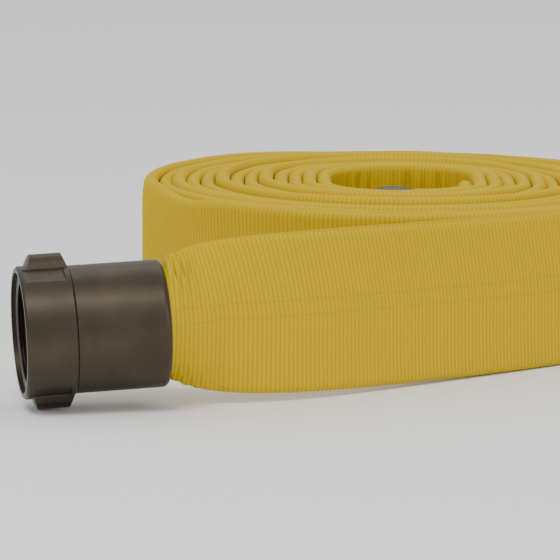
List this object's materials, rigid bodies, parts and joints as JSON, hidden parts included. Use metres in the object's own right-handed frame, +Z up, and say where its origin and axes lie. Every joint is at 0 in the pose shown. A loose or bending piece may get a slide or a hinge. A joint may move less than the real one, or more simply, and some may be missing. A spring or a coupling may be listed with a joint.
{
  "type": "rolled fire hose",
  "caption": "Flat woven fire hose rolled on its edge around its male coupling, with a short tail that ends in a female swivel coupling.",
  "frame": {"origin": "bottom centre of the bounding box, on the surface that the hose stands on", "axes": "+Z up along the roll's axis; -Y towards the viewer, where the tail leaves the roll; -X towards the female coupling's mouth"},
  "size_m": [0.3248, 0.4068, 0.078],
  "materials": {
    "outer_jacket": "ribbed woven polyester, yellow",
    "inner_jacket": "undyed woven polyester",
    "lining": "smooth black rubber",
    "coupling": "hard-anodised, brown-grey, satin",
    "expansion_ring": "plain turned brass",
    "gasket": "moulded black rubber",
    "balls": "polished stainless steel",
    "race_plug": "stainless socket screw"
  },
  "bodies": {
    "root": {"outer_jacket_roll": "outer_jacket", "outer_jacket_tail": "outer_jacket", "inner_jacket_roll": "inner_jacket", "inner_jacket_tail": "inner_jacket", "lining_roll": "lining", "lining_tail": "lining", "female_bowl": "coupling", "female_expansion_ring": "expansion_ring", "female_tail_gasket": "gasket", "male_coupling": "coupling", "male_expansion_ring": "expansion_ring", "male_tail_gasket": "gasket"},
    "nut": {"swivel_nut": "coupling", "swivel_gasket": "gasket", "ball_race_plug": "race_plug"},
    "balls": {"swivel_balls": "balls"}
  },
  "joints": [
    {"name": "swivel", "type": "hinge", "parent": "root", "child": "nut", "pos_m": [-0.13612, -0.16901, 0.03744], "axis": [-0.9833, -0.1765, -0.0436], "continuous": true},
    {"name": "ball_orbit", "type": "hinge", "parent": "root", "child": "balls", "pos_m": [-0.13612, -0.16901, 0.03744], "axis": [-0.9833, -0.1765, -0.0436], "continuous": true}
  ],
  "couplings": [
    {"joint": "ball_orbit", "follows": "swivel", "ratio": 0.5345}
  ]
}
